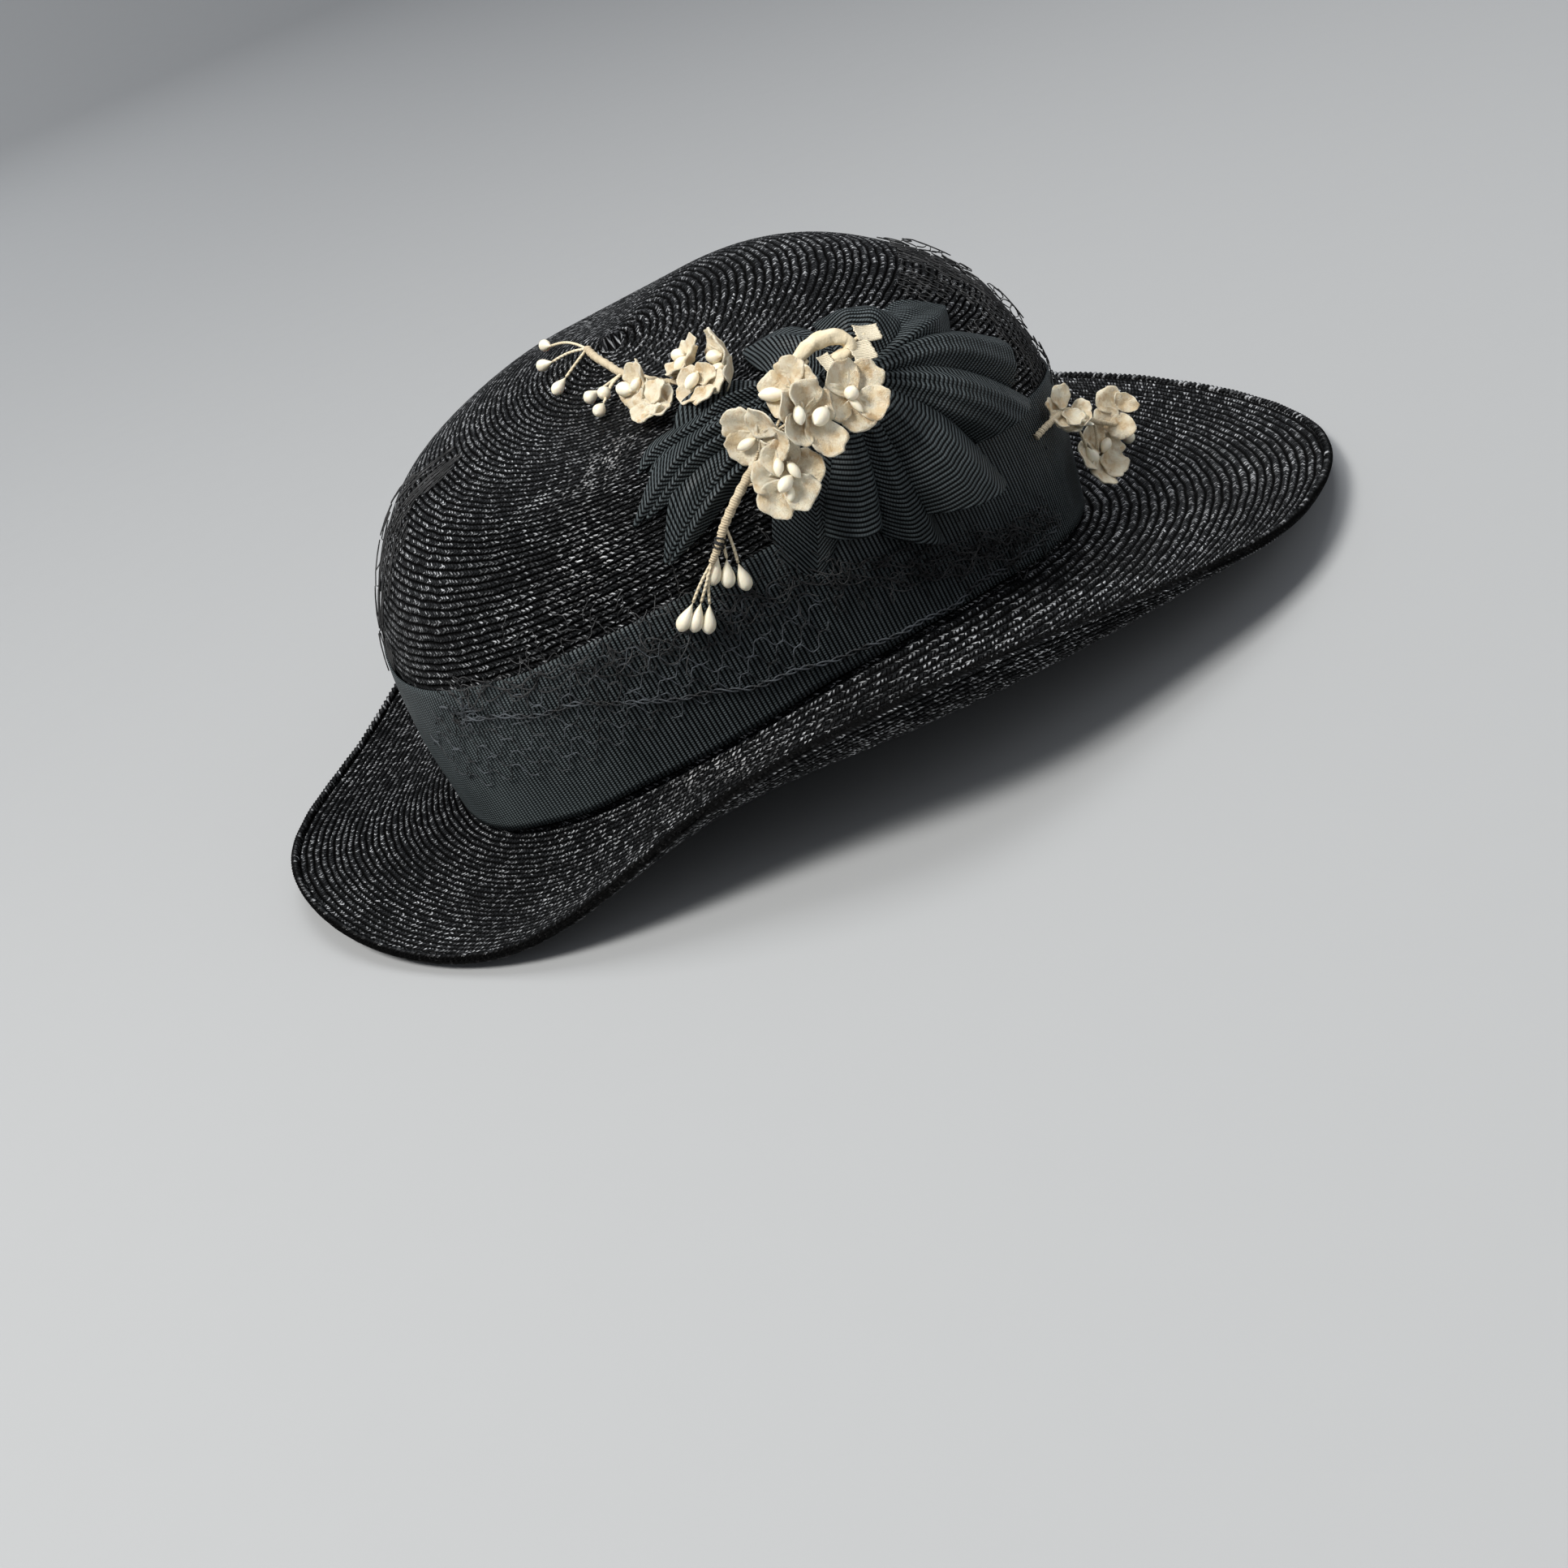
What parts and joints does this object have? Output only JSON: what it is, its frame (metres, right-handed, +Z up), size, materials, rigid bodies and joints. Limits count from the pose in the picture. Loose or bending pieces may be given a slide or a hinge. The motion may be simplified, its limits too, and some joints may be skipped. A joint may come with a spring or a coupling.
{
  "type": "tilt hat",
  "caption": "Woman's tilt hat of sewn straw braid: oval crown, rolled brim, wide ribbon band, fan bow and sprays of velvet flowers and buds.",
  "frame": {"origin": "on the surface the hat rests on, under the middle of its box", "axes": "+Z up, front of the hat toward -Y, the wearer's left (the trimmed side) toward +X"},
  "size_m": [0.2622, 0.3326, 0.1183],
  "materials": {
    "straw": "glossy sewn straw braid",
    "grosgrain": "ribbed, soft sheen",
    "velvet": "cream velvet, matt",
    "bud": "ivory composition, satin",
    "tape": "paper tape and thread, matt",
    "net": "fine black net and loose threads"
  },
  "bodies": {
    "root": {"bow_fold_1": "grosgrain", "bow_fold_2": "grosgrain", "bow_fold_3": "grosgrain", "bow_fold_4": "grosgrain", "bow_fold_5": "grosgrain", "bow_knot": "grosgrain", "bow_right_1": "grosgrain", "bow_right_2": "grosgrain", "bow_right_3": "grosgrain", "bow_tail_1": "grosgrain", "bow_tail_2": "grosgrain", "bow_tail_3": "grosgrain", "bow_top_1": "grosgrain", "bow_top_2": "grosgrain", "brim": "straw", "crown": "straw", "ribbon_band": "grosgrain", "rim_wire": "straw", "spray_back_bud_1": "bud", "spray_back_flower_1": "velvet", "spray_back_flower_2": "velvet", "spray_back_flower_3": "velvet", "spray_back_stem": "tape", "spray_mid_bud_1": "bud", "spray_mid_bud_2": "bud", "spray_mid_bud_3": "bud", "spray_mid_bud_4": "bud", "spray_mid_bud_5": "bud", "spray_mid_bud_6": "bud", "spray_mid_flower_1": "velvet", "spray_mid_flower_2": "velvet", "spray_mid_flower_3": "velvet", "spray_mid_flower_4": "velvet", "spray_mid_flower_5": "velvet", "spray_mid_stamen_1": "bud", "spray_mid_stamen_2": "bud", "spray_mid_stamen_3": "bud", "spray_mid_stamen_5": "bud", "spray_mid_stem": "tape", "spray_mid_tape": "tape", "spray_top_bud_1": "bud", "spray_top_bud_2": "bud", "spray_top_bud_3": "bud", "spray_top_bud_4": "bud", "spray_top_bud_5": "bud", "spray_top_flower_1": "velvet", "spray_top_flower_2": "velvet", "spray_top_flower_3": "velvet", "spray_top_stem": "tape", "veil_back": "net", "veil_front": "net", "veil_side": "net"}
  },
  "joints": []
}
